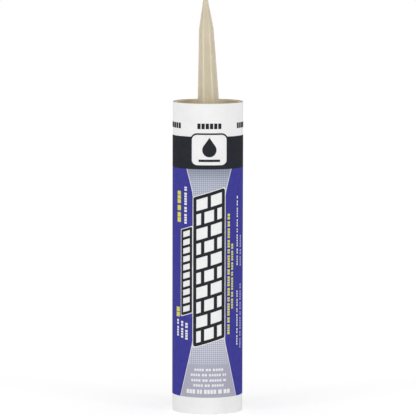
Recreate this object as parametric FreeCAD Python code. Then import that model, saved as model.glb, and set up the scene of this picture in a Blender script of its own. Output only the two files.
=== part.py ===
import FreeCAD, Part
import math
import os

from FreeCAD import Vector

# A sealant cartridge: a wound paperboard tube with a printed paper label, a moulded
# cap and nozzle in its front end, and a plunger in its rear end that pushes the sealant out.
# Millimetres. The origin is the centre of the tube's rear rim, +Z runs along the tube
# towards the nozzle, and the front of the label faces -Y.

# Paperboard tube
tube_length = 216.5
bore_radius = 23.1
tube_wall = 1.2
tube_edge_round = 0.3

# Paper label, wrapped once round the tube and lapped at the back
label_thick = 0.2
lap_width = 6.0
lap_ramp = 3.0
label_margin = 0.4          # bare board between the label and the front rim
ink_thick = 0.1
print_turn = 2.5            # degrees that the label's front is turned towards +X

# Cap pressed and glued into the front end
cap_inset = 0.4             # rim of the cap below the tube's front rim
cap_depth = 9.0             # bottom of the cap's skirt below the tube's front rim
cap_floor_depth = 4.2       # floor of the recess below the tube's front rim
cap_floor_thick = 1.4
cap_wall = 1.1
cap_corner_round = 1.0
cap_rim_round = 0.35
glue_groove_depth = 0.4
glue_groove_height = 1.4
glue_groove_count = 2

# Nozzle, moulded in one piece with the cap
nozzle_foot_radius = 7.57   # at the floor of the recess
nozzle_shoulder_radius = 5.0
nozzle_shoulder_height = 50.0   # above the tube's front rim
nozzle_tip_radius = 1.05
nozzle_tip_height = 74.3    # above the tube's front rim
nozzle_tip_bulge = 0.05     # of the tip's side outside a straight cone
nozzle_wall = 1.2
nozzle_closed_length = 5.0  # solid plastic at the uncut tip
nozzle_foot_round = 1.6
nozzle_lean = 1.75          # degrees towards -X
nozzle_offset = 0.4         # of the nozzle's foot from the tube's axis, towards +X

# Foil disc welded over the nozzle's mouth, inside
foil_radius = 8.4
foil_thick = 0.15

# Plunger
plunger_depth = 14.6        # rear edge inside the tube's rear rim, which leaves 300 mL
plunger_height = 14.0
plunger_wall = 1.2
plunger_floor_thick = 1.6
plunger_lip_clearance = 0.05
plunger_waist_clearance = 0.5
plunger_lip_height = 2.0
plunger_lip_slope = 0.45
plunger_lip_round = 0.2
plunger_nose_clearance = 0.6    # between its nose and the inside of the cap's skirt
plunger_corner_round = 0.8

# Sealant
sealant_clearance = 0.3

# Colour fields of the label, from the tube's ends
foot_margin = 11.9          # bare paper at the rear end
head_margin = 23.2          # white at the front end
band_height = 22.4          # black band below it

# Silver panel down the front, measured round the label and along it
panel_head_half = 16.3
panel_foot_half = 22.0
panel_tuck = 0.3            # how far its neck is narrower than the column that stands on it
panel_neck_drop = 18.0      # top of the neck below the field's top
panel_neck_rise = 40.0      # foot of the neck above the field's foot
panel_turn_round = 40.0
bare_line = 0.6             # thin line of bare paper round the printed shapes

# Brickwork motifs: white bricks laid on a slope in black mortar
mortar = 2.3
brick_height = 7.9
brick_slope = 0.30
wall_half = 9.0             # main column, on the silver panel
wall_drop = 16.0
wall_rise = 38.5
wall_corner_round = 1.4
pier_near = -14.0           # narrow column beside it, on the blue
pier_far = -19.8
pier_brick_height = 4.0
pier_mortar = 1.8
pier_drop = 31.0
pier_rise = 63.0
pier_corner_round = 0.7

# Badge in the black band
badge_half = 12.6
badge_height = 21.0
badge_rise = 2.8            # foot of the badge above the field's top
badge_round = 3.6
badge_border = 1.1
drop_radius = 4.9
drop_height = 13.4
drop_rise = 5.6             # foot of the droplet above the foot of the badge
badge_bar_half = 7.4
badge_bar_height = 1.6
badge_bar_rise = 2.3

# Marks round the bare paper at the front end
mark_groups = 5
marks_in_group = 6
mark_width = 2.2
mark_gap = 0.72
mark_height = 3.8
mark_drop = 14.0            # top of the marks below the tube's front rim

# Rows of bars that stand where small print would
word_lengths = (6.8, 3.6, 8.6, 2.8, 5.2)
word_gap = 1.3
shortest_word = 1.6

label_inner = bore_radius + tube_wall
label_outer = label_inner + label_thick
stamp_reach = 2 * label_outer   # of a prism from the axis, well past the label
field_foot = foot_margin
field_top = tube_length - head_margin - band_height
band_top = tube_length - head_margin
cap_floor_top = tube_length - cap_floor_depth
cap_floor_under = cap_floor_top - cap_floor_thick
cap_skirt_foot = tube_length - cap_depth
skirt_inner = bore_radius - cap_wall
skirt_drop = cap_floor_under - cap_skirt_foot
plunger_shoulder = plunger_depth + plunger_height
nose_radius = skirt_inner - plunger_nose_clearance
nose_top = plunger_shoulder + skirt_drop
cup_radius = bore_radius - plunger_waist_clearance - plunger_wall
panel_neck_half = wall_half + mortar - panel_tuck
largest_share = 0.45        # of a side that the rounding of one corner may take up
same_place = 1e-6           # points nearer than this are one point
z_axis = Vector(0, 0, 1)

# Rows of small print beside the silver panel: place round the label, bar width, gap
# to the end of the field that the row starts from, and length.
yellow_rows_from_top = (
    (-23.9, 3.8, 15.7, 21.6),
    (14.5, 1.9, 31.1, 84.0),
    (17.7, 1.7, 49.4, 48.0),
)
yellow_rows_from_foot = (
    (-25.0, 3.8, 55.5, 9.6),
)
white_rows_from_top = (
    (-17.6, 2.3, 10.7, 27.5),
    (23.2, 1.4, 19.2, 48.5),
    (27.8, 1.2, 44.7, 23.8),
)
white_rows_from_foot = (
    (23.2, 1.4, 35.6, 38.0),
    (27.8, 1.2, 33.0, 46.0),
    (-25.2, 2.2, 42.0, 11.7),
    (-20.6, 2.2, 41.0, 11.7),
    (-16.6, 2.2, 40.0, 11.7),
)
# Lines of print across the foot of the silver panel: half length, height above the
# field's foot, and bar height.
panel_lines = (
    (10.3, 18.6, 1.7),
    (13.0, 14.9, 1.7),
    (12.6, 11.2, 1.7),
    (11.0, 7.6, 1.7),
    (16.4, 2.6, 3.0),
)


# General shapes

def revolved(outline):
    """Solid turned about Z from a closed outline of (radius, height) points and arcs."""
    face = Part.Face(profile_wire(outline))
    return face.revolve(Vector(0, 0, 0), z_axis, 360)


def profile_wire(outline):
    """Closed wire in the XZ plane through (x, z, round) corners, each with its own rounding."""
    corners = [Vector(x, 0, z) for x, z, _ in outline]
    edges = []
    joints = []
    for index, (_, _, rounding) in enumerate(outline):
        joints.append(rounded_corner(corners, index, rounding))
    for index, (start, middle, end) in enumerate(joints):
        if middle is not None:
            edges.append(Part.Arc(start, middle, end).toShape())
        following = joints[(index + 1) % len(joints)][0]
        if end.distanceToPoint(following) > same_place:
            edges.append(Part.LineSegment(end, following).toShape())
    return Part.Wire(edges)


def rounded_corner(corners, index, rounding):
    """Start, middle and end of the arc that rounds one corner, or the corner itself."""
    corner = corners[index]
    if rounding <= 0:
        return corner, None, corner
    before = corners[index - 1] - corner
    after = corners[(index + 1) % len(corners)] - corner
    half_turn = before.getAngle(after) / 2
    longest_reach = largest_share * min(before.Length, after.Length)
    rounding = min(rounding, longest_reach * math.tan(half_turn))
    reach = rounding / math.tan(half_turn)
    inward = Vector(before).normalize() + Vector(after).normalize()
    to_centre = rounding / math.sin(half_turn)
    start = corner + Vector(before).normalize() * reach
    end = corner + Vector(after).normalize() * reach
    middle = corner + inward.normalize() * (to_centre - rounding)
    return start, middle, end


def ring(inner, outer, low, high):
    """Plain hollow cylinder about Z."""
    height = high - low
    body = Part.makeCylinder(outer, height, Vector(0, 0, low))
    return body.cut(Part.makeCylinder(inner, height, Vector(0, 0, low)))


def polar(radius, angle):
    return Vector(radius * math.cos(angle), radius * math.sin(angle), 0)


def lapped_wire(grown):
    """Outline of the wrapped label seen along Z, grown outwards by a coat of ink.

    The outer ply climbs a short ramp over the inner one and ends in a step, at the back.
    """
    low = label_outer + grown
    high = low + label_thick
    back = math.pi / 2
    lap_half = lap_width / 2 / label_outer
    ramp_foot = back - lap_half - lap_ramp / label_outer + 2 * math.pi
    ramp_head = back - lap_half + 2 * math.pi
    step = back + lap_half + grown / label_outer
    step_again = step + 2 * math.pi
    plain = Part.Arc(polar(low, step), polar(low, (step + ramp_foot) / 2), polar(low, ramp_foot))
    ramp = Part.LineSegment(polar(low, ramp_foot), polar(high, ramp_head))
    lap = Part.Arc(polar(high, ramp_head), polar(high, (ramp_head + step_again) / 2),
                   polar(high, step_again))
    end = Part.LineSegment(polar(high, step_again), polar(low, step))
    return Part.Wire([piece.toShape() for piece in (plain, ramp, lap, end)])


def lapped_solid(grown, low, high):
    """Everything inside the label's outline between two heights."""
    face = Part.Face(lapped_wire(grown))
    face.translate(Vector(0, 0, low))
    return face.extrude(Vector(0, 0, high - low))


def ink_shell(low, high):
    """A coat of ink all round the label between two heights."""
    return lapped_solid(ink_thick, low, high).cut(lapped_solid(0, low, high))


# Printed shapes: the first number of a place is measured round the label from its front

def across(arc):
    """Distance from the label's middle line, seen from the front, of a place round it."""
    return label_outer * math.sin(arc / label_outer)


def stamp(outline):
    """Prism that cuts a printed shape out of the front half of a coat of ink."""
    seen = [(across(arc), height, rounding) for arc, height, rounding in outline]
    face = Part.Face(profile_wire(seen))
    return face.extrude(Vector(0, -stamp_reach, 0))


def box_stamp(arc, width, low, high):
    """Small upright block that cuts a bar out of a coat of ink anywhere round the label."""
    depth = label_outer
    block = Part.makeBox(width, depth, high - low,
                         Vector(-width / 2, -label_outer - depth / 2, low))
    block.rotate(Vector(0, 0, 0), z_axis, math.degrees(arc / label_outer))
    return block


def word_spans(start, end):
    """Low and high ends of the bars in a row of small print."""
    spans = []
    place = start
    while end - place > shortest_word:
        length = word_lengths[len(spans) % len(word_lengths)]
        spans.append((place, min(place + length, end)))
        place += length + word_gap
    return spans


def yellow_stamps():
    return row_stamps(yellow_rows_from_top, yellow_rows_from_foot)


def row_stamps(rows_from_top, rows_from_foot):
    """Blocks for the upright rows of small print that start from either end of the field."""
    blocks = []
    for arc, width, drop, length in rows_from_top:
        high = field_top - drop
        blocks += [box_stamp(arc, width, *span) for span in word_spans(high - length, high)]
    for arc, width, rise, length in rows_from_foot:
        low = field_foot + rise
        blocks += [box_stamp(arc, width, *span) for span in word_spans(low, low + length)]
    return blocks


def panel_outline(grown):
    """Waisted silver panel: wide at the head, narrow at the neck, widest at the foot."""
    neck_top = field_top - panel_neck_drop
    neck_foot = field_foot + panel_neck_rise
    right = [
        (panel_foot_half + grown, field_foot, 0),
        (panel_neck_half + grown, neck_foot, panel_turn_round),
        (panel_neck_half + grown, neck_top, panel_turn_round),
        (panel_head_half + grown, field_top, 0),
    ]
    left = [(-arc, height, rounding) for arc, height, rounding in reversed(right)]
    return right + left


def sloped_block(near, far, low, high, rounding):
    """Outline of a block whose top and bottom edges climb to the right."""
    return [
        (near, low + brick_slope * near, rounding),
        (far, low + brick_slope * far, rounding),
        (far, high + brick_slope * far, rounding),
        (near, high + brick_slope * near, rounding),
    ]


def brick_courses(low, high, height, joint):
    """Bottoms of the courses of bricks that fit between two heights."""
    count = int((high - low - joint) // (height + joint))
    return [low + joint + number * (height + joint) for number in range(count)]


def wall_bricks():
    """White bricks of the main column, in half bond."""
    bricks = []
    half = mortar / 2
    for number, low in enumerate(brick_courses(field_foot + wall_rise, field_top - wall_drop,
                                               brick_height, mortar)):
        splits = [0] if number % 2 else [-wall_half / 2, wall_half / 2]
        lefts = [-wall_half] + [split + half for split in splits]
        rights = [split - half for split in splits] + [wall_half]
        for left, right in zip(lefts, rights):
            bricks.append(stamp(sloped_block(left, right, low, low + brick_height, 0)))
    return bricks


def wall_outline(grown):
    """Black ground of the main column."""
    courses = brick_courses(field_foot + wall_rise, field_top - wall_drop, brick_height, mortar)
    edge = mortar + grown
    return sloped_block(-wall_half - edge, wall_half + edge, courses[0] - edge,
                        courses[-1] + brick_height + edge, wall_corner_round)


def pier_courses():
    return brick_courses(field_foot + pier_rise, field_top - pier_drop,
                         pier_brick_height, pier_mortar)


def pier_bricks():
    """White bricks of the narrow column, one to a course."""
    bricks = []
    for low in pier_courses():
        outline = sloped_block(pier_far, pier_near, low, low + pier_brick_height, 0)
        bricks.append(stamp(outline))
    return bricks


def pier_outline(grown):
    """Black ground of the narrow column."""
    courses = pier_courses()
    edge = pier_mortar + grown
    return sloped_block(pier_far - edge, pier_near + edge, courses[0] - edge,
                        courses[-1] + pier_brick_height + edge, pier_corner_round)


def badge_outline(grown):
    """Rounded badge that stands in the black band and a little above it."""
    low = field_top + badge_rise - grown
    high = field_top + badge_rise + badge_height + grown
    half = badge_half + grown
    rounding = badge_round + grown
    return [(-half, low, rounding), (half, low, rounding),
            (half, high, rounding), (-half, high, rounding)]


def droplet():
    """Prism of a plain droplet: a round foot drawn up to a point."""
    foot = field_top + badge_rise + drop_rise
    centre = foot + drop_radius
    tip = foot + drop_height
    lean = math.asin(drop_radius / (tip - centre))
    side_x = drop_radius * math.cos(lean)
    side_z = centre + drop_radius * math.sin(lean)
    left = Vector(-side_x, 0, side_z)
    right = Vector(side_x, 0, side_z)
    point = Vector(0, 0, tip)
    bowl = Part.Arc(left, Vector(0, 0, foot), right)
    sides = (Part.LineSegment(right, point), Part.LineSegment(point, left))
    wire = Part.Wire([bowl.toShape()] + [side.toShape() for side in sides])
    return Part.Face(wire).extrude(Vector(0, -stamp_reach, 0))


# Sub-parts

def barrel():
    """Wound paperboard tube, its inner edges eased where it was cut."""
    solid = ring(bore_radius, label_inner, 0, tube_length)
    inner_edges = [edge for edge in solid.Edges
                   if edge.Closed and abs(edge.Curve.Radius - bore_radius) < same_place]
    return solid.makeFillet(tube_edge_round, inner_edges)


def label():
    """Paper label, one ply all round and two at the lap."""
    wrapped = lapped_solid(0, 0, tube_length - label_margin)
    return wrapped.cut(Part.makeCylinder(label_inner, tube_length))


def ink_blue():
    """Blue field, open where the other shapes of the label are."""
    field = ink_shell(field_foot, field_top)
    openings = [stamp(panel_outline(bare_line))] + column_stamps(bare_line) + yellow_stamps()
    openings += row_stamps(white_rows_from_top, white_rows_from_foot)
    return field.cut(openings)


def ink_silver():
    """Silver panel with lines of bare paper across its foot."""
    coat = ink_shell(field_foot, field_top).common(stamp(panel_outline(0)))
    openings = column_stamps(bare_line) + yellow_stamps()
    for half, rise, height in panel_lines:
        low = field_foot + rise
        for start, end in word_spans(-half, half):
            openings.append(box_stamp((start + end) / 2, end - start, low, low + height))
    return coat.cut(openings)


def column_stamps(grown):
    """Prisms of the two brickwork columns, grown by a bare line."""
    return [stamp(wall_outline(grown)), stamp(pier_outline(grown))]


def ink_black():
    """Black band with its badge, the grounds of the two columns, and the marks above."""
    coat = ink_shell(field_foot, tube_length)
    band = ink_shell(field_top, band_top)
    border = coat.common(stamp(badge_outline(badge_border)))
    badged_band = band.fuse(border).cut(stamp(badge_outline(0))).removeSplitter()
    bar_low = field_top + badge_rise + badge_bar_rise
    bar = box_stamp(0, 2 * badge_bar_half, bar_low, bar_low + badge_bar_height)
    badge_marks = [coat.common(droplet()), coat.common(bar)]
    wall = coat.common(stamp(wall_outline(0))).cut(wall_bricks())
    pier = coat.common(stamp(pier_outline(0))).cut(pier_bricks())
    return badged_band.fuse(badge_marks + [wall, pier] + ring_of_marks())


def ring_of_marks():
    """Groups of short upright marks spaced evenly round the bare paper."""
    high = tube_length - mark_drop
    coat = ink_shell(high - mark_height, high)
    round_length = 2 * math.pi * label_outer
    pitch = mark_width + mark_gap
    blocks = []
    for group in range(mark_groups):
        middle = round_length * group / mark_groups
        for number in range(marks_in_group):
            arc = middle + (number - (marks_in_group - 1) / 2) * pitch
            blocks.append(box_stamp(arc, mark_width, high - mark_height, high))
    return [coat.common(block) for block in blocks]


def ink_yellow():
    """Yellow bars that fill their openings in the blue."""
    coat = ink_shell(field_foot, field_top)
    bars = [coat.common(block) for block in yellow_stamps()]
    return bars[0].fuse(bars[1:]).cut(column_stamps(bare_line))


def leaned(shape):
    """The nozzle's own frame: turned about the middle of its foot and moved off the axis."""
    shape.rotate(Vector(0, 0, cap_floor_top), Vector(0, 1, 0), -nozzle_lean)
    shape.translate(Vector(nozzle_offset, 0, 0))
    return shape


def nozzle_outside():
    """Tapered nozzle with a longer taper to its closed round tip."""
    foot = cap_floor_top - cap_floor_thick / 2
    shoulder = tube_length + nozzle_shoulder_height
    tip = tube_length + nozzle_tip_height
    tip_side = tip - nozzle_tip_radius
    middle_radius = (nozzle_shoulder_radius + nozzle_tip_radius) / 2 + nozzle_tip_bulge
    edges = [
        Part.LineSegment(Vector(0, 0, foot), Vector(nozzle_foot_radius, 0, foot)),
        Part.LineSegment(Vector(nozzle_foot_radius, 0, foot),
                         Vector(nozzle_shoulder_radius, 0, shoulder)),
        Part.Arc(Vector(nozzle_shoulder_radius, 0, shoulder),
                 Vector(middle_radius, 0, (shoulder + tip_side) / 2),
                 Vector(nozzle_tip_radius, 0, tip_side)),
        Part.Arc(Vector(nozzle_tip_radius, 0, tip_side),
                 Vector(nozzle_tip_radius * math.sin(math.pi / 4), 0,
                        tip_side + nozzle_tip_radius * math.cos(math.pi / 4)),
                 Vector(0, 0, tip)),
        Part.LineSegment(Vector(0, 0, tip), Vector(0, 0, foot)),
    ]
    face = Part.Face(Part.Wire([edge.toShape() for edge in edges]))
    return leaned(face.revolve(Vector(0, 0, 0), z_axis, 360))


def nozzle_bore():
    """Way for the sealant up the nozzle, closed near the tip."""
    mouth = cap_floor_under - cap_floor_thick
    shoulder = tube_length + nozzle_shoulder_height
    end = tube_length + nozzle_tip_height - nozzle_closed_length
    hollow = revolved([
        (0, mouth, 0),
        (nozzle_foot_radius - nozzle_wall, mouth, 0),
        (nozzle_shoulder_radius - nozzle_wall, shoulder, 0),
        (nozzle_tip_radius / 2, end, 0),
        (0, end, 0),
    ])
    return leaned(hollow)


def glue_grooves():
    """Shallow grooves round the skirt that hold the glue."""
    span = cap_depth - cap_inset
    grooves = []
    for number in range(glue_groove_count):
        middle = cap_skirt_foot + span * (number + 1) / (glue_groove_count + 1)
        low = middle - glue_groove_height / 2
        grooves.append(ring(bore_radius - glue_groove_depth, bore_radius + tube_wall,
                            low, low + glue_groove_height))
    return grooves


def nozzle_cap():
    """Moulded cap: a skirt in the tube, a sunk floor and the nozzle that stands on it."""
    rim = tube_length - cap_inset
    plug = revolved([
        (0, cap_floor_under, 0),
        (skirt_inner, cap_floor_under, cap_corner_round),
        (skirt_inner, cap_skirt_foot, 0),
        (bore_radius, cap_skirt_foot, cap_rim_round),
        (bore_radius, rim, 0),
        (skirt_inner, rim, cap_rim_round),
        (skirt_inner, cap_floor_top, cap_corner_round),
        (0, cap_floor_top, 0),
    ])
    body = plug.cut(glue_grooves()).fuse(nozzle_outside())
    foot_edges = [edge for edge in body.Edges if is_nozzle_foot(edge)]
    body = body.makeFillet(nozzle_foot_round, foot_edges)
    return body.cut(nozzle_bore())


def is_nozzle_foot(edge):
    """Whether an edge is where the nozzle's side meets the floor of the recess."""
    at_floor = all(abs(vertex.Z - cap_floor_top) < same_place for vertex in edge.Vertexes)
    middle = edge.valueAt((edge.FirstParameter + edge.LastParameter) / 2)
    between = (nozzle_foot_radius + skirt_inner) / 2
    return at_floor and abs(middle.z - cap_floor_top) < same_place and abs(middle.x) < between


def foil_seal():
    """Foil disc welded under the cap's floor, over the nozzle's mouth."""
    low = cap_floor_under - foil_thick
    return Part.makeCylinder(foil_radius, foil_thick, Vector(nozzle_offset, 0, low))


def plunger():
    """Moulded cup with a wiping lip at each end and a nose that fits inside the cap."""
    rear = plunger_depth
    lip = bore_radius - plunger_lip_clearance
    waist = bore_radius - plunger_waist_clearance
    nose_inner = nose_radius - plunger_floor_thick
    return revolved([
        (0, nose_top - plunger_floor_thick, 0),
        (nose_inner, nose_top - plunger_floor_thick, plunger_corner_round),
        (nose_inner, plunger_shoulder - plunger_floor_thick, 0),
        (cup_radius, plunger_shoulder - plunger_floor_thick, plunger_corner_round),
        (cup_radius, rear, 0),
        (lip, rear, 0),
        (lip, rear + plunger_lip_height, 0),
        (waist, rear + plunger_lip_height + plunger_lip_slope, 0),
        (waist, plunger_shoulder - plunger_lip_height - plunger_lip_slope, 0),
        (lip, plunger_shoulder - plunger_lip_height, 0),
        (lip, plunger_shoulder, plunger_lip_round),
        (nose_radius, plunger_shoulder, 0),
        (nose_radius, nose_top, plunger_corner_round),
        (0, nose_top, 0),
    ])


def sealant():
    """The sealant between the plunger's face and the underside of the cap."""
    top = cap_floor_under - foil_thick
    clear = sealant_clearance
    return revolved([
        (0, nose_top + clear, 0),
        (nose_radius + clear, nose_top + clear, 0),
        (nose_radius + clear, plunger_shoulder + clear, 0),
        (bore_radius, plunger_shoulder + clear, 0),
        (bore_radius, cap_skirt_foot, 0),
        (skirt_inner, cap_skirt_foot, 0),
        (skirt_inner, top, cap_corner_round),
        (0, top, 0),
    ])


os.makedirs("parts", exist_ok=True)

printed = {
    "label": label(),
    "ink_blue": ink_blue(),
    "ink_silver": ink_silver(),
    "ink_black": ink_black(),
    "ink_yellow": ink_yellow(),
}
for shape in printed.values():
    shape.rotate(Vector(0, 0, 0), z_axis, print_turn)

plain = {
    "barrel": barrel(),
    "nozzle_cap": nozzle_cap(),
    "foil_seal": foil_seal(),
    "sealant": sealant(),
    "plunger": plunger(),
}

for name, shape in {**plain, **printed}.items():
    shape.exportStep("parts/" + name + ".step")
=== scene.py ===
import math

import bpy
from mathutils import Matrix, Vector


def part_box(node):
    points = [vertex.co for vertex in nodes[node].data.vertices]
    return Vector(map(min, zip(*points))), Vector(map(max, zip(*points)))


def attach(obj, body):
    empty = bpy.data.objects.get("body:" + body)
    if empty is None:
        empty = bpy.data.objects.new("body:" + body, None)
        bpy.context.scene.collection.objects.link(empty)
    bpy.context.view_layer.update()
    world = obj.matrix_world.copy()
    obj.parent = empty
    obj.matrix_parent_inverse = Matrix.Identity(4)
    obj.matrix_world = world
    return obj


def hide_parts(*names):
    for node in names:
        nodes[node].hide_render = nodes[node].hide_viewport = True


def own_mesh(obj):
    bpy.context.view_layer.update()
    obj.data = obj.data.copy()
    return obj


# A sealant cartridge on a pale floor: a paper-labelled board tube with a moulded almond
# nozzle and cap, a plunger in its rear end and the paste between them. Metres.

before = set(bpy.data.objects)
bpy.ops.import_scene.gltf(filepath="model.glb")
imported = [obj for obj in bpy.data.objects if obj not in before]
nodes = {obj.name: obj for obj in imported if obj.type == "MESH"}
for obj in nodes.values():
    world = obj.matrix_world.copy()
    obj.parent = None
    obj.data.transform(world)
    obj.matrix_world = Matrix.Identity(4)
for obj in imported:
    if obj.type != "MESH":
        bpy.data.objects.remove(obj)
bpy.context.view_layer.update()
MM = 0.001

# Tube and print, from the frame
tube_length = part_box("barrel")[1].z
field_low, field_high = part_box("ink_blue")
sealant_low, sealant_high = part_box("sealant")
ink_radius = field_high.x
label_radius = 24.5 * MM
print_turn = math.radians(2.5)

# Cap and plunger, as far as the sealant follows them
bore_radius = 23.1 * MM
skirt_inner = 22.0 * MM
skirt_foot = tube_length - 9.0 * MM
nose_hollow_radius = 21.7 * MM
nose_hollow_top = 32.3 * MM
sealant_dome = 0.8 * MM
sealant_edge = 0.4 * MM

# Nozzle, which leans to the left on the cap
recess_floor = tube_length - 4.2 * MM
nozzle_lean = math.radians(1.75)
nozzle_offset = 0.4 * MM
nozzle_foot_radius = 7.57 * MM
nozzle_shoulder_radius = 5.0 * MM
nozzle_shoulder = tube_length + 50.0 * MM
nozzle_tip_radius = 1.05 * MM
nozzle_tip = tube_length + 74.3 * MM
parting_start = recess_floor + 2.2 * MM
parting_width = 0.35 * MM
parting_proud = 0.07 * MM
parting_root = 0.5 * MM

# Small print, in mm: bars are split into marks by thin breaks in the colour of their ground
word_lengths = (6.8, 3.6, 8.6, 2.8, 5.2)
word_gap = 1.3
shortest_word = 1.6
shortest_mark = 1.75
mark_share = 0.75
break_width = 0.36
break_overlap = 0.2
break_proud = 0.03 * MM
break_thick = 0.08 * MM

# Rows beside the silver panel, in mm: place round the label, width, low and high end
upright_rows = (
    (-23.9, 3.8, 133.6, 155.2),
    (14.5, 1.9, 55.8, 139.8),
    (17.7, 1.7, 73.5, 121.5),
    (-25.0, 3.8, 67.4, 77.0),
    (-17.6, 2.3, 132.7, 160.2),
    (23.2, 1.4, 103.2, 151.7),
    (27.8, 1.2, 102.4, 126.2),
    (23.2, 1.4, 47.5, 85.5),
    (27.8, 1.2, 44.9, 90.9),
    (-25.2, 2.2, 53.9, 65.6),
    (-20.6, 2.2, 52.9, 64.6),
    (-16.6, 2.2, 51.9, 63.6),
)
# Lines across the foot of the silver panel, in mm: half length, height and bar height
panel_lines = (
    (10.3, 30.5, 1.7),
    (13.0, 26.8, 1.7),
    (12.6, 23.1, 1.7),
    (11.0, 19.5, 1.7),
    (16.4, 14.5, 3.0),
)

# The silver panel's mesh of crossed lines, in mm; it ends above the first line of small print
panel_foot = field_low.z / MM
panel_top = field_high.z / MM
mesh_pitch = 1.4            # 0.9 mm on the real label, drawn coarser so that it shows
mesh_line_core = 0.1
mesh_line_edge = 0.26
mesh_foot = panel_lines[0][1] + panel_lines[0][2] + 2.8
mesh_fade = 0.5
band_shade_depth = 9.0

# Light, in metres and watts
world_strength = 0.57
lamp_distance = 1.2
lamp_aim = tube_length * 0.6
near_ground, near_glow = 0.1, 0.54
far_ground, far_glow = 1.5, 0.73

# Camera, as fitted to the tube's rims and bands in the photograph
camera_distance = 2.2575
camera_height = 0.3687
camera_pitch = 0.1002
camera_side = 0.2 * MM
camera_roll = 0.00242
lens_mm = 281.57
sensor_mm = 36.0


# Colour and nodes

def linear(hex_colour):
    """An sRGB hex colour as the linear one that a shader takes."""
    channels = [int(hex_colour[place:place + 2], 16) / 255 for place in (1, 3, 5)]
    return [c / 12.92 if c <= 0.04045 else ((c + 0.055) / 1.055) ** 2.4 for c in channels] + [1]


def scale_for(size_mm):
    """Scale of a pattern whose features are so many millimetres across."""
    return 1 / (size_mm * MM)


def connect(tree, node, inputs):
    """Fills a node's inputs. One given a socket is linked to it, one given another node is
    linked to that node's first output in use, and any other is set."""
    for name, value in inputs.items():
        if isinstance(value, bpy.types.Node):
            value = next(output for output in value.outputs if output.enabled)
        if isinstance(value, bpy.types.NodeSocket):
            tree.links.new(value, node.inputs[name])
        else:
            node.inputs[name].default_value = value


def add(tree, kind, inputs=None, **settings):
    """Adds a node with its settings, and fills its inputs."""
    node = tree.nodes.new(kind)
    for name, value in settings.items():
        setattr(node, name, value)
    connect(tree, node, inputs or {})
    return node


def new_material(name, **constants):
    """A material and its shader, with the numbers that are the same all over it."""
    material = bpy.data.materials.new(name)
    material.use_nodes = True
    shader = material.node_tree.nodes["Principled BSDF"]
    for socket, value in constants.items():
        shader.inputs[socket.replace("_", " ")].default_value = value
    return material, material.node_tree, shader


# Materials

def label_place(tree):
    """Where on the label: the point, and in mm the distance round from its front and the height."""
    place = add(tree, "ShaderNodeTexCoord").outputs["Object"]
    parts = add(tree, "ShaderNodeSeparateXYZ", {"Vector": place}).outputs
    forwards = add(tree, "ShaderNodeMath", {0: parts["Y"], 1: -1.0}, operation="MULTIPLY")
    angle = add(tree, "ShaderNodeMath", {0: parts["X"], 1: forwards}, operation="ARCTAN2")
    around = add(tree, "ShaderNodeMath", {0: angle, 1: label_radius / MM}, operation="MULTIPLY")
    height = add(tree, "ShaderNodeMath", {0: parts["Z"], 1: 1 / MM}, operation="MULTIPLY")
    return place, around, height


def emboss_label(tree, shader, place, around, height):
    """Coated label stock: a fine tooth, and the faint spiral of the board wound under it."""
    tooth_mm = 0.9              # 0.2 mm on real stock, drawn coarser so that it shows
    board_strip_mm = 57.0
    seam_mm = 0.8
    turn_mm = 2 * math.pi * label_radius / MM
    tooth = add(tree, "ShaderNodeTexNoise", {"Vector": place, "Scale": scale_for(tooth_mm),
                                             "Detail": 3.0})
    climb = add(tree, "ShaderNodeMath", {0: around, 1: board_strip_mm / turn_mm},
                operation="MULTIPLY")
    along = add(tree, "ShaderNodeMath", {0: height, 1: climb}, operation="ADD")
    seam = add(tree, "ShaderNodeMath", {0: along, 1: board_strip_mm / 2}, operation="PINGPONG")
    ridge = add(tree, "ShaderNodeMapRange", {"Value": seam, "From Max": seam_mm,
                                             "To Min": 1.0, "To Max": 0.0})
    low_tooth = add(tree, "ShaderNodeMath", {0: tooth, 1: 0.5}, operation="MULTIPLY")
    relief = add(tree, "ShaderNodeMath", {0: low_tooth, 1: ridge}, operation="ADD")
    bump = add(tree, "ShaderNodeBump", {"Height": relief, "Distance": 0.03 * MM, "Strength": 0.5})
    connect(tree, shader, {"Normal": bump})


def label_paper():
    """Clay-coated paper under press varnish: even white with a soft satin sheen."""
    material, tree, shader = new_material("clay_coated_paper", Roughness=0.6, IOR=1.5,
                                          Specular_IOR_Level=0.02)
    place, around, height = label_place(tree)
    emboss_label(tree, shader, place, around, height)
    cloud = add(tree, "ShaderNodeTexNoise", {"Vector": place, "Scale": scale_for(7.0),
                                             "Detail": 3.0})
    share = add(tree, "ShaderNodeMapRange", {"Value": cloud, "From Min": 0.3, "From Max": 0.7})
    colour = add(tree, "ShaderNodeMix", {"Factor": share, "A": linear("#e9e9e9"),
                                         "B": linear("#eeeded")}, data_type="RGBA")
    connect(tree, shader, {"Base Color": colour})
    return material


def offset_ink(name, full, thin):
    """Litho ink under press varnish: flat colour, slightly mottled as it soaks in unevenly."""
    material, tree, shader = new_material(name, Roughness=0.55, IOR=1.5, Specular_IOR_Level=0.005)
    place, around, height = label_place(tree)
    emboss_label(tree, shader, place, around, height)
    mottle = add(tree, "ShaderNodeTexNoise", {"Vector": place, "Scale": scale_for(3.5),
                                              "Detail": 5.0})
    share = add(tree, "ShaderNodeMapRange", {"Value": mottle, "From Min": 0.3, "From Max": 0.7})
    colour = add(tree, "ShaderNodeMix", {"Factor": share, "A": linear(full), "B": linear(thin)},
                 data_type="RGBA")
    connect(tree, shader, {"Base Color": colour})
    return material


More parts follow.
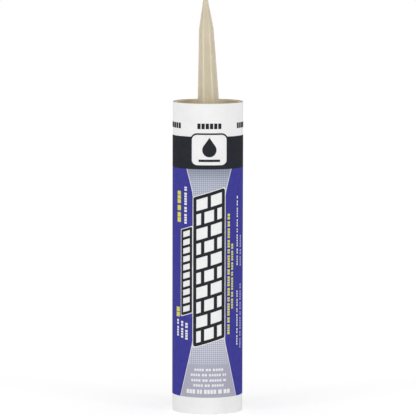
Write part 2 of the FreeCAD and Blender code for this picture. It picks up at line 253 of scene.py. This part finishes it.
def screened_silver_ink():
    """Silver-grey tint, a screen of crossed lines: bluish above and darkest under the black
    band, lilac below, palest between, and nearly plain behind the small print at its foot."""
    material, tree, shader = new_material("screened_silver_ink", Roughness=0.5, IOR=1.5,
                                          Specular_IOR_Level=0.05)
    place, around, height = label_place(tree)
    emboss_label(tree, shader, place, around, height)
    lines = []
    for way in (around, height):
        off_line = add(tree, "ShaderNodeMath", {0: way, 1: mesh_pitch / 2}, operation="PINGPONG")
        lines.append(add(tree, "ShaderNodeMapRange",
                         {"Value": off_line, "From Min": mesh_line_core,
                          "From Max": mesh_line_edge, "To Min": 1.0, "To Max": 0.0}))
    screen = add(tree, "ShaderNodeMath", {0: lines[0], 1: lines[1]}, operation="MAXIMUM")
    rise = add(tree, "ShaderNodeMapRange", {"Value": height, "From Min": panel_foot,
                                            "From Max": panel_top})
    tint = add(tree, "ShaderNodeMix", {"Factor": rise, "A": linear("#bab9c9"),
                                       "B": linear("#b3b9ca")}, data_type="RGBA")
    from_ends = add(tree, "ShaderNodeMath", {0: rise, 1: 0.5}, operation="PINGPONG")
    middle = add(tree, "ShaderNodeMath", {0: from_ends, 1: 2.0}, operation="MULTIPLY")
    pale = add(tree, "ShaderNodeMix", {"Factor": middle, "A": tint, "B": linear("#e8e8f3")},
               data_type="RGBA")
    under_band = add(tree, "ShaderNodeMapRange",
                     {"Value": height, "From Min": panel_top - band_shade_depth,
                      "From Max": panel_top, "To Max": 0.45})
    deep = linear("#5e6274")
    ground = add(tree, "ShaderNodeMix", {"Factor": under_band, "A": pale, "B": deep},
                 data_type="RGBA")
    line = add(tree, "ShaderNodeMix", {"Factor": 0.6, "A": ground, "B": deep}, data_type="RGBA")
    mesh = add(tree, "ShaderNodeMix", {"Factor": screen, "A": ground, "B": line},
               data_type="RGBA")
    behind_print = add(tree, "ShaderNodeMapRange",
                       {"Value": height, "From Min": mesh_foot - mesh_fade,
                        "From Max": mesh_foot + mesh_fade, "To Min": 0.8, "To Max": 0.0})
    colour = add(tree, "ShaderNodeMix", {"Factor": behind_print, "A": mesh,
                                         "B": linear("#a8a7b8")}, data_type="RGBA")
    connect(tree, shader, {"Base Color": colour})
    return material


def moulded_polyethylene(name, lit, deep):
    """Injection-moulded polyethylene: waxy, with soft-edged highlights and faint flow lines."""
    material, tree, shader = new_material(name, IOR=1.51, Subsurface_Weight=0.15,
                                          Subsurface_Radius=(1.0, 0.8, 0.6),
                                          Subsurface_Scale=0.8 * MM)
    place = add(tree, "ShaderNodeTexCoord").outputs["Object"]
    cloud = add(tree, "ShaderNodeTexNoise", {"Vector": place, "Scale": scale_for(9.0),
                                             "Detail": 3.0})
    share = add(tree, "ShaderNodeMapRange", {"Value": cloud, "From Min": 0.3, "From Max": 0.7})
    colour = add(tree, "ShaderNodeMix", {"Factor": share, "A": linear(deep), "B": linear(lit)},
                 data_type="RGBA")
    drawn_out = add(tree, "ShaderNodeMapping", {"Vector": place, "Scale": (1, 1, 1 / 30)})
    flow = add(tree, "ShaderNodeTexNoise", {"Vector": drawn_out, "Scale": scale_for(0.8),
                                            "Detail": 2.0})
    roughness = add(tree, "ShaderNodeMapRange", {"Value": flow, "From Min": 0.3, "From Max": 0.7,
                                                 "To Min": 0.27, "To Max": 0.3})
    bump = add(tree, "ShaderNodeBump", {"Height": flow, "Distance": 0.004 * MM, "Strength": 0.5})
    connect(tree, shader, {"Base Color": colour, "Roughness": roughness, "Normal": bump})
    return material


def wound_paperboard():
    """Tan board wound from glued strips: matt and fibrous, with plies on the cut edge."""
    material, tree, shader = new_material("wound_paperboard", Roughness=0.85, IOR=1.5,
                                          Specular_IOR_Level=0.3)
    ply_mm = 0.3
    place = add(tree, "ShaderNodeTexCoord").outputs["Object"]
    parts = add(tree, "ShaderNodeSeparateXYZ", {"Vector": place}).outputs
    flat = add(tree, "ShaderNodeCombineXYZ", {"X": parts["X"], "Y": parts["Y"]})
    from_axis = add(tree, "ShaderNodeVectorMath", {0: flat}, operation="LENGTH")
    plies_out = add(tree, "ShaderNodeMapRange",
                    {"Value": from_axis, "From Min": bore_radius,
                     "From Max": bore_radius + ply_mm * MM, "To Min": 0.5, "To Max": 1.5},
                    clamp=False)
    in_ply = add(tree, "ShaderNodeMath", {0: plies_out, 1: 0.5}, operation="PINGPONG")
    glue_line = add(tree, "ShaderNodeMapRange", {"Value": in_ply, "From Max": 0.14,
                                                 "To Min": 1.0, "To Max": 0.0})
    glue = add(tree, "ShaderNodeMath", {0: glue_line, 1: 0.55}, operation="MULTIPLY")
    matted = add(tree, "ShaderNodeMapping", {"Vector": place, "Scale": (1 / 2.5, 1 / 2.5, 1)})
    fibre = add(tree, "ShaderNodeTexNoise", {"Vector": matted, "Scale": scale_for(0.7),
                                             "Detail": 5.0})
    share = add(tree, "ShaderNodeMapRange", {"Value": fibre, "From Min": 0.3, "From Max": 0.7})
    board = add(tree, "ShaderNodeMix", {"Factor": share, "A": linear("#a2967d"),
                                        "B": linear("#bdb196")}, data_type="RGBA")
    colour = add(tree, "ShaderNodeMix", {"Factor": glue, "A": board, "B": linear("#7b705c")},
                 data_type="RGBA")
    bump = add(tree, "ShaderNodeBump", {"Height": fibre, "Distance": 0.05 * MM, "Strength": 0.7})
    connect(tree, shader, {"Base Color": colour, "Normal": bump})
    return material


def aluminium_foil():
    """Rolled aluminium foil, heat-sealed: bright, with the small creases of handling, and painted
    shade darkening the crease lines.
    """
    material, tree, shader = new_material("aluminium_foil", Metallic=1.0, Roughness=0.24)
    place = add(tree, "ShaderNodeTexCoord").outputs["Object"]
    crease = add(tree, "ShaderNodeTexVoronoi", {"Vector": place, "Scale": scale_for(2.2)},
                 feature="DISTANCE_TO_EDGE")
    folds_and_crease_shade = add(tree, "ShaderNodeMapRange", {"Value": crease, "From Max": 0.12})
    # The crease lines take the darker colour, which is painted shade in the creases, while the same
    # mask also raises their bump.
    colour = add(tree, "ShaderNodeMix", {"Factor": folds_and_crease_shade, "A": linear("#c9cbce"),
                                         "B": linear("#dcdddf")}, data_type="RGBA")
    bump = add(tree, "ShaderNodeBump", {"Height": folds_and_crease_shade, "Distance": 0.05 * MM, "Strength": 0.5})
    connect(tree, shader, {"Base Color": colour, "Normal": bump})
    return material


def acrylic_paste():
    """Filled acrylic sealant: a thick opaque paste with a wet gloss and drawn-out smears."""
    material, tree, shader = new_material("acrylic_sealant", Roughness=0.28, IOR=1.47,
                                          Subsurface_Weight=0.1,
                                          Subsurface_Radius=(1.0, 0.8, 0.6),
                                          Subsurface_Scale=0.5 * MM)
    place = add(tree, "ShaderNodeTexCoord").outputs["Object"]
    drawn_out = add(tree, "ShaderNodeMapping", {"Vector": place, "Scale": (1 / 3, 1, 1)})
    smear = add(tree, "ShaderNodeTexNoise", {"Vector": drawn_out, "Scale": scale_for(3.0),
                                             "Detail": 4.0})
    share = add(tree, "ShaderNodeMapRange", {"Value": smear, "From Min": 0.3, "From Max": 0.7})
    colour = add(tree, "ShaderNodeMix", {"Factor": share, "A": linear("#c3b699"),
                                         "B": linear("#d0c4aa")}, data_type="RGBA")
    bump = add(tree, "ShaderNodeBump", {"Height": smear, "Distance": 0.4 * MM, "Strength": 0.5})
    connect(tree, shader, {"Base Color": colour, "Normal": bump})
    return material


# Working with pieces

def pick_none():
    if bpy.context.object and bpy.context.object.mode != "OBJECT":
        bpy.ops.object.mode_set(mode="OBJECT")
    bpy.ops.object.select_all(action="DESELECT")


def pick_only(piece):
    pick_none()
    piece.select_set(True)
    bpy.context.view_layer.objects.active = piece


def select_faces(piece, wanted):
    """Goes into edit mode with only the faces selected that a test picks."""
    bpy.ops.object.mode_set(mode="EDIT")
    bpy.ops.mesh.select_mode(type="FACE")
    bpy.ops.mesh.select_all(action="DESELECT")
    bpy.ops.object.mode_set(mode="OBJECT")
    for face in piece.data.polygons:
        face.select = wanted(face)
    bpy.ops.object.mode_set(mode="EDIT")


def apply_place(piece):
    """Moves a piece's place, turn and size into its mesh."""
    pick_only(piece)
    bpy.ops.object.transform_apply(location=True, rotation=True, scale=True)


def joined(pieces, name):
    pick_none()
    for piece in pieces:
        piece.select_set(True)
    bpy.context.view_layer.objects.active = pieces[0]
    bpy.ops.object.join()
    whole = bpy.context.object
    whole.name = name
    return whole


def finish_piece(piece, body, material):
    """Puts the finish on a new piece and makes it ride on its body."""
    pick_only(piece)
    bpy.ops.object.shade_smooth_by_angle(angle=math.radians(35))
    piece.data.materials.clear()
    piece.data.materials.append(material)
    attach(piece, body)


def dress(node, material):
    """Gives a CAD node its finish through the slots of its object."""
    for slot in nodes[node].material_slots:
        slot.material = material


# Pieces

def make_sealant(material):
    """The paste: it fills the bore, fits round the plunger's nose and domes into the cap."""
    height = skirt_foot - sealant_low.z
    pick_none()
    bpy.ops.mesh.primitive_cylinder_add(vertices=96, radius=bore_radius, depth=height,
                                        location=(0, 0, sealant_low.z + height / 2))
    paste = bpy.context.object
    paste.name = "sealant_paste"
    apply_place(paste)
    select_faces(paste, lambda face: face.normal.z > 0.9)
    bpy.ops.mesh.inset(thickness=bore_radius - skirt_inner)
    cup_rise = sealant_high.z - sealant_dome - skirt_foot
    bpy.ops.mesh.extrude_region_move(TRANSFORM_OT_translate={"value": (0, 0, cup_rise)})
    for share, rise in ((0.25, 0.6), (0.45, 0.4)):
        bpy.ops.mesh.inset(thickness=skirt_inner * share)
        bpy.ops.transform.translate(value=(0, 0, sealant_dome * rise))
    bpy.ops.mesh.poke()
    select_faces(paste, lambda face: face.normal.z < -0.9)
    bpy.ops.mesh.inset(thickness=bore_radius - nose_hollow_radius)
    nose_rise = nose_hollow_top - sealant_low.z
    bpy.ops.mesh.extrude_region_move(TRANSFORM_OT_translate={"value": (0, 0, nose_rise)})
    bpy.ops.mesh.inset(thickness=nose_hollow_radius / 2)
    bpy.ops.transform.translate(value=(0, 0, sealant_dome / 2))
    bpy.ops.mesh.poke()
    bpy.ops.object.mode_set(mode="OBJECT")
    bevel = paste.modifiers.new("soft_edges", "BEVEL")
    bevel.width = sealant_edge
    bevel.segments = 2
    bevel.limit_method = "ANGLE"
    pick_only(paste)
    bpy.ops.object.modifier_apply(modifier=bevel.name)
    finish_piece(paste, "barrel", material)
    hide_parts("sealant")
    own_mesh(paste)


def make_parting_lines(material):
    """Thin ridges that the two halves of the mould leave up both sides of the nozzle."""
    depth = parting_root + parting_proud
    taper = (nozzle_foot_radius - nozzle_shoulder_radius) / (nozzle_shoulder - recess_floor)
    start_radius = nozzle_foot_radius - taper * (parting_start - recess_floor)
    outwards = start_radius + parting_proud - depth / 2
    stations = ((start_radius, parting_start), (nozzle_shoulder_radius, nozzle_shoulder),
                (nozzle_tip_radius, nozzle_tip - nozzle_tip_radius))
    ridges = []
    for side in (-1, 1):
        pick_none()
        bpy.ops.mesh.primitive_plane_add(size=1, location=(0, 0, recess_floor))
        ridge = bpy.context.object
        bpy.ops.object.mode_set(mode="EDIT")
        bpy.ops.transform.resize(value=(depth, parting_width, 1))
        bpy.ops.transform.translate(value=(side * outwards, 0, parting_start - recess_floor))
        for (radius, height), (next_radius, next_height) in zip(stations, stations[1:]):
            move = (side * (next_radius - radius), 0, next_height - height)
            bpy.ops.mesh.extrude_region_move(TRANSFORM_OT_translate={"value": move})
        bpy.ops.mesh.select_all(action="SELECT")
        bpy.ops.mesh.normals_make_consistent(inside=False)
        bpy.ops.object.mode_set(mode="OBJECT")
        ridge.rotation_euler.y = -nozzle_lean
        ridge.location.x = nozzle_offset
        apply_place(ridge)
        ridges.append(ridge)
    finish_piece(joined(ridges, "nozzle_parting_lines"), "barrel", material)


def word_spans(start, end):
    """Ends of the bars in a row of small print, in mm."""
    spans = []
    place = start
    while end - place > shortest_word:
        length = word_lengths[len(spans) % len(word_lengths)]
        spans.append((place, min(place + length, end)))
        place += length + word_gap
    return spans


def break_places(start, end, width):
    """Middles of the breaks that split the bars of a row into marks, in mm."""
    mark = max(shortest_mark, mark_share * width)
    places = []
    for low, high in word_spans(start, end):
        count = max(1, round((high - low) / mark))
        places += [low + (high - low) * number / count for number in range(1, count)]
    return places


def make_breaks(name, boxes, material):
    """Thin film over small print, one strip for each (round, up, width, height), in mm."""
    radius = ink_radius + break_proud
    on_ink = radius / label_radius
    pick_none()
    bpy.ops.mesh.primitive_cube_add(size=1)
    model = bpy.context.object
    bpy.ops.object.mode_set(mode="EDIT")
    bpy.ops.mesh.subdivide(number_cuts=1)
    bpy.ops.object.mode_set(mode="OBJECT")
    strips = []
    for around, up, width, height in boxes:
        strip = model.copy()
        strip.data = model.data.copy()
        bpy.context.collection.objects.link(strip)
        strip.location = (around * on_ink * MM, break_thick / 2, up * MM)
        strip.scale = (width * on_ink * MM, break_thick, height * MM)
        strips.append(strip)
    bpy.data.objects.remove(model)
    film = joined(strips, name)
    apply_place(film)
    bend = film.modifiers.new("round_the_tube", "SIMPLE_DEFORM")
    bend.deform_method = "BEND"
    bend.deform_axis = "Z"
    bend.angle = film.dimensions.x / radius
    bpy.ops.object.modifier_apply(modifier=bend.name)
    film.location.y = -radius
    apply_place(film)
    film.rotation_euler.z = print_turn
    apply_place(film)
    finish_piece(film, "barrel", material)


def make_small_print(blue, silver):
    """Breaks across the rows on the blue, and across the lines on the silver panel."""
    across_rows = [(around, up, width + break_overlap, break_width)
                   for around, width, low, high in upright_rows
                   for up in break_places(low, high, width)]
    make_breaks("row_breaks", across_rows, blue)
    across_lines = [(around, low + height / 2, break_width, height + break_overlap)
                    for half, low, height in panel_lines
                    for around in break_places(-half, half, height)]
    make_breaks("line_breaks", across_lines, silver)


blue_ink = offset_ink("blue_litho_ink", "#3e3d8f", "#444397")
silver_ink = screened_silver_ink()
almond = moulded_polyethylene("almond_polyethylene", "#c9bea6", "#c2b69c")
dress("label", label_paper())
dress("ink_blue", blue_ink)
dress("ink_black", offset_ink("black_litho_ink", "#292b30", "#2e3036"))
dress("ink_silver", silver_ink)
dress("ink_yellow", offset_ink("yellow_litho_ink", "#cfcd5a", "#dad864"))
dress("barrel", wound_paperboard())
dress("nozzle_cap", almond)
dress("foil_seal", aluminium_foil())
dress("plunger", moulded_polyethylene("natural_polyethylene", "#e6e6e0", "#dcdcd4"))
make_sealant(acrylic_paste())
make_parting_lines(almond)
make_small_print(blue_ink, silver_ink)


# Floor, light and camera

def seen_by_eye(tree):
    """1 where the camera looks, straight or in gloss or glass, and 0 for light on its way."""
    path = add(tree, "ShaderNodeLightPath").outputs
    mirrored = add(tree, "ShaderNodeMath", {0: path["Is Glossy Ray"],
                                            1: path["Is Transmission Ray"]}, operation="MAXIMUM")
    return add(tree, "ShaderNodeMath", {0: path["Is Camera Ray"], 1: mirrored},
               operation="MAXIMUM")


def make_floor():
    """Pale sheet: white to the camera but for the soft shadow that the tube leaves on it.

    Its glow makes up for the lamplight, which falls off with the distance from the tube.
    """
    pick_none()
    bpy.ops.mesh.primitive_plane_add(size=12.0)
    floor = bpy.context.object
    floor.name = "floor"
    material, tree, shader = new_material("matt_white_sheet", Roughness=0.95,
                                          Specular_IOR_Level=0.0)
    shader.inputs["Base Color"].default_value = linear("#f6f6f6")
    shade = add(tree, "ShaderNodeBsdfDiffuse", {"Color": linear("#bcbcbc")})
    place = add(tree, "ShaderNodeTexCoord").outputs["Object"]
    from_tube = add(tree, "ShaderNodeVectorMath", {0: place}, operation="LENGTH")
    makeup = add(tree, "ShaderNodeMapRange", {"Value": from_tube, "From Min": near_ground,
                                              "From Max": far_ground, "To Min": near_glow,
                                              "To Max": far_glow})
    glow = add(tree, "ShaderNodeEmission", {"Color": linear("#ffffff"), "Strength": makeup})
    both = add(tree, "ShaderNodeAddShader", {0: shade, 1: glow})
    mix = add(tree, "ShaderNodeMixShader", {0: seen_by_eye(tree), 1: shader, 2: both})
    connect(tree, tree.nodes["Material Output"], {"Surface": mix})
    floor.data.materials.append(material)


def make_world(strength):
    """Even light from all round, and plain white to the camera."""
    world = bpy.data.worlds.new("studio")
    bpy.context.scene.world = world
    world.use_nodes = True
    tree = world.node_tree
    tree.nodes.clear()
    light = add(tree, "ShaderNodeBackground", {"Color": linear("#ffffff"), "Strength": strength})
    white = add(tree, "ShaderNodeBackground", {"Color": linear("#ffffff"), "Strength": 1.0})
    mix = add(tree, "ShaderNodeMixShader", {0: seen_by_eye(tree), 1: light, 2: white})
    add(tree, "ShaderNodeOutputWorld", {"Surface": mix})


def make_lamp(name, azimuth, elevation, width, height, power):
    """Soft box that faces the tube; azimuth 0 is the camera's side, and it grows to the right."""
    data = bpy.data.lights.new(name, "AREA")
    data.shape = "RECTANGLE"
    data.size = width
    data.size_y = height
    data.energy = power
    lamp = bpy.data.objects.new(name, data)
    bpy.context.scene.collection.objects.link(lamp)
    turn, climb = math.radians(azimuth), math.radians(elevation)
    away = Vector((math.sin(turn) * math.cos(climb), -math.cos(turn) * math.cos(climb),
                   math.sin(climb)))
    lamp.location = Vector((0, 0, lamp_aim)) + away * lamp_distance
    lamp.rotation_mode = "QUATERNION"
    lamp.rotation_quaternion = (-away).to_track_quat("-Z", "Y")


def make_camera():
    data = bpy.data.cameras.new("camera")
    data.sensor_width = sensor_mm
    data.lens = lens_mm
    camera = bpy.data.objects.new("camera", data)
    bpy.context.scene.collection.objects.link(camera)
    bpy.context.scene.camera = camera
    tilt = Matrix.Rotation(math.pi / 2 - camera_pitch, 4, "X")
    roll = Matrix.Rotation(camera_roll, 4, "Z")
    place = (camera_side, -camera_distance, camera_height)
    camera.matrix_world = Matrix.Translation(place) @ tilt @ roll


make_camera()
make_world(world_strength)
make_floor()
make_lamp("left_soft_box", azimuth=-52, elevation=9, width=0.24, height=0.6, power=3.5)
make_lamp("right_soft_box", azimuth=50, elevation=9, width=0.2, height=0.6, power=3.2)
make_lamp("top_soft_box", azimuth=0, elevation=80, width=0.9, height=0.9, power=5.6)
bpy.context.scene.view_settings.view_transform = "Standard"
